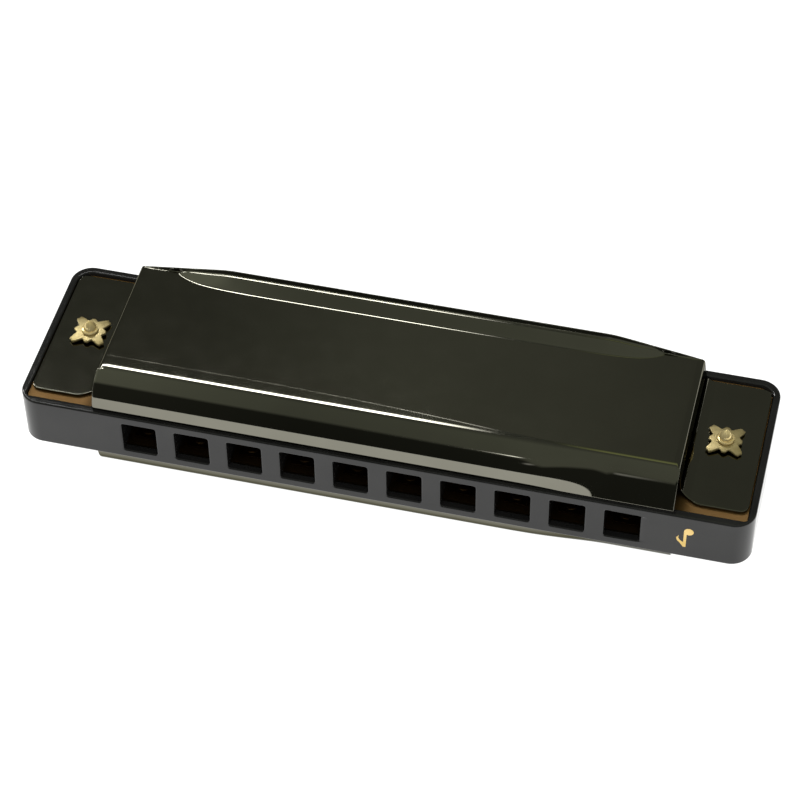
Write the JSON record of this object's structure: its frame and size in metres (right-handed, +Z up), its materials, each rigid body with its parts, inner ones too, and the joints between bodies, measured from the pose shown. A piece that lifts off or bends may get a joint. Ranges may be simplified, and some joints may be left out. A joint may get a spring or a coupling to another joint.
{
  "type": "diatonic harmonica",
  "caption": "Diatonic harmonica: slotted comb between two reed plates with spring reeds, under two bent metal covers open at the back.",
  "frame": {"origin": "below the middle of the harmonica, on the level of its lowest point, the lip of the lower cover", "axes": "+X along the row of holes, towards hole 1; -Y is the mouth side; +Z up, with the harmonica lying draw side up"},
  "size_m": [0.1024, 0.0272, 0.0202],
  "materials": {
    "comb_plastic": "satin-gloss black moulded plastic",
    "cover_plating": "polished black-nickel plating",
    "plate_brass": "fine-milled brass",
    "reed_brass": "lengthwise-ground brass",
    "rivet_brass": "turned brass",
    "pin_steel": "plain steel",
    "washer_gold": "polished gold plating",
    "nail_gold": "polished gold plating",
    "gold_foil": "satin gold inlay"
  },
  "bodies": {
    "harmonica": {"comb": "comb_plastic", "draw_reed_plate": "plate_brass", "blow_reed_plate": "plate_brass", "draw_reed_rivets": "rivet_brass", "blow_reed_rivets": "rivet_brass", "upper_plate_pins": "pin_steel", "lower_plate_pins": "pin_steel", "upper_cover": "cover_plating", "lower_cover": "cover_plating", "upper_left_washer": "washer_gold", "upper_right_washer": "washer_gold", "lower_left_washer": "washer_gold", "lower_right_washer": "washer_gold", "upper_left_nail": "nail_gold", "upper_right_nail": "nail_gold", "lower_left_nail": "nail_gold", "lower_right_nail": "nail_gold", "key_mark": "gold_foil"},
    "draw_reed_1": {"draw_reed_1": "reed_brass"},
    "draw_reed_2": {"draw_reed_2": "reed_brass"},
    "draw_reed_3": {"draw_reed_3": "reed_brass"},
    "draw_reed_4": {"draw_reed_4": "reed_brass"},
    "draw_reed_5": {"draw_reed_5": "reed_brass"},
    "draw_reed_6": {"draw_reed_6": "reed_brass"},
    "draw_reed_7": {"draw_reed_7": "reed_brass"},
    "draw_reed_8": {"draw_reed_8": "reed_brass"},
    "draw_reed_9": {"draw_reed_9": "reed_brass"},
    "draw_reed_10": {"draw_reed_10": "reed_brass"},
    "blow_reed_1": {"blow_reed_1": "reed_brass"},
    "blow_reed_2": {"blow_reed_2": "reed_brass"},
    "blow_reed_3": {"blow_reed_3": "reed_brass"},
    "blow_reed_4": {"blow_reed_4": "reed_brass"},
    "blow_reed_5": {"blow_reed_5": "reed_brass"},
    "blow_reed_6": {"blow_reed_6": "reed_brass"},
    "blow_reed_7": {"blow_reed_7": "reed_brass"},
    "blow_reed_8": {"blow_reed_8": "reed_brass"},
    "blow_reed_9": {"blow_reed_9": "reed_brass"},
    "blow_reed_10": {"blow_reed_10": "reed_brass"}
  },
  "joints": [
    {"name": "draw_reed_1_flex", "type": "hinge", "parent": "harmonica", "child": "draw_reed_1", "pos_m": [0.03375, 0.0086, 0.01377], "axis": [1, 0, 0], "range_deg": [-2, 2], "stiffness_Nm_per_rad": 0.008},
    {"name": "draw_reed_2_flex", "type": "hinge", "parent": "harmonica", "child": "draw_reed_2", "pos_m": [0.02625, 0.00782, 0.01377], "axis": [1, 0, 0], "range_deg": [-2, 2], "stiffness_Nm_per_rad": 0.008},
    {"name": "draw_reed_3_flex", "type": "hinge", "parent": "harmonica", "child": "draw_reed_3", "pos_m": [0.01875, 0.00704, 0.01377], "axis": [1, 0, 0], "range_deg": [-2, 2], "stiffness_Nm_per_rad": 0.008},
    {"name": "draw_reed_4_flex", "type": "hinge", "parent": "harmonica", "child": "draw_reed_4", "pos_m": [0.01125, 0.00627, 0.01377], "axis": [1, 0, 0], "range_deg": [-2, 2], "stiffness_Nm_per_rad": 0.008},
    {"name": "draw_reed_5_flex", "type": "hinge", "parent": "harmonica", "child": "draw_reed_5", "pos_m": [0.00375, 0.00549, 0.01377], "axis": [1, 0, 0], "range_deg": [-2, 2], "stiffness_Nm_per_rad": 0.008},
    {"name": "draw_reed_6_flex", "type": "hinge", "parent": "harmonica", "child": "draw_reed_6", "pos_m": [-0.00375, 0.00471, 0.01377], "axis": [1, 0, 0], "range_deg": [-2, 2], "stiffness_Nm_per_rad": 0.008},
    {"name": "draw_reed_7_flex", "type": "hinge", "parent": "harmonica", "child": "draw_reed_7", "pos_m": [-0.01125, 0.00393, 0.01377], "axis": [1, 0, 0], "range_deg": [-2, 2], "stiffness_Nm_per_rad": 0.008},
    {"name": "draw_reed_8_flex", "type": "hinge", "parent": "harmonica", "child": "draw_reed_8", "pos_m": [-0.01875, 0.00316, 0.01377], "axis": [1, 0, 0], "range_deg": [-2, 2], "stiffness_Nm_per_rad": 0.008},
    {"name": "draw_reed_9_flex", "type": "hinge", "parent": "harmonica", "child": "draw_reed_9", "pos_m": [-0.02625, 0.00238, 0.01377], "axis": [1, 0, 0], "range_deg": [-2, 2], "stiffness_Nm_per_rad": 0.008},
    {"name": "draw_reed_10_flex", "type": "hinge", "parent": "harmonica", "child": "draw_reed_10", "pos_m": [-0.03375, 0.0016, 0.01377], "axis": [1, 0, 0], "range_deg": [-2, 2], "stiffness_Nm_per_rad": 0.008},
    {"name": "blow_reed_1_flex", "type": "hinge", "parent": "harmonica", "child": "blow_reed_1", "pos_m": [0.03375, -0.0093, 0.00767], "axis": [1, 0, 0], "range_deg": [-2, 2], "stiffness_Nm_per_rad": 0.008},
    {"name": "blow_reed_2_flex", "type": "hinge", "parent": "harmonica", "child": "blow_reed_2", "pos_m": [0.02625, -0.0093, 0.00767], "axis": [1, 0, 0], "range_deg": [-2, 2], "stiffness_Nm_per_rad": 0.008},
    {"name": "blow_reed_3_flex", "type": "hinge", "parent": "harmonica", "child": "blow_reed_3", "pos_m": [0.01875, -0.0093, 0.00767], "axis": [1, 0, 0], "range_deg": [-2, 2], "stiffness_Nm_per_rad": 0.008},
    {"name": "blow_reed_4_flex", "type": "hinge", "parent": "harmonica", "child": "blow_reed_4", "pos_m": [0.01125, -0.0093, 0.00767], "axis": [1, 0, 0], "range_deg": [-2, 2], "stiffness_Nm_per_rad": 0.008},
    {"name": "blow_reed_5_flex", "type": "hinge", "parent": "harmonica", "child": "blow_reed_5", "pos_m": [0.00375, -0.0093, 0.00767], "axis": [1, 0, 0], "range_deg": [-2, 2], "stiffness_Nm_per_rad": 0.008},
    {"name": "blow_reed_6_flex", "type": "hinge", "parent": "harmonica", "child": "blow_reed_6", "pos_m": [-0.00375, -0.0093, 0.00767], "axis": [1, 0, 0], "range_deg": [-2, 2], "stiffness_Nm_per_rad": 0.008},
    {"name": "blow_reed_7_flex", "type": "hinge", "parent": "harmonica", "child": "blow_reed_7", "pos_m": [-0.01125, -0.0093, 0.00767], "axis": [1, 0, 0], "range_deg": [-2, 2], "stiffness_Nm_per_rad": 0.008},
    {"name": "blow_reed_8_flex", "type": "hinge", "parent": "harmonica", "child": "blow_reed_8", "pos_m": [-0.01875, -0.0093, 0.00767], "axis": [1, 0, 0], "range_deg": [-2, 2], "stiffness_Nm_per_rad": 0.008},
    {"name": "blow_reed_9_flex", "type": "hinge", "parent": "harmonica", "child": "blow_reed_9", "pos_m": [-0.02625, -0.0093, 0.00767], "axis": [1, 0, 0], "range_deg": [-2, 2], "stiffness_Nm_per_rad": 0.008},
    {"name": "blow_reed_10_flex", "type": "hinge", "parent": "harmonica", "child": "blow_reed_10", "pos_m": [-0.03375, -0.0093, 0.00767], "axis": [1, 0, 0], "range_deg": [-2, 2], "stiffness_Nm_per_rad": 0.008}
  ]
}
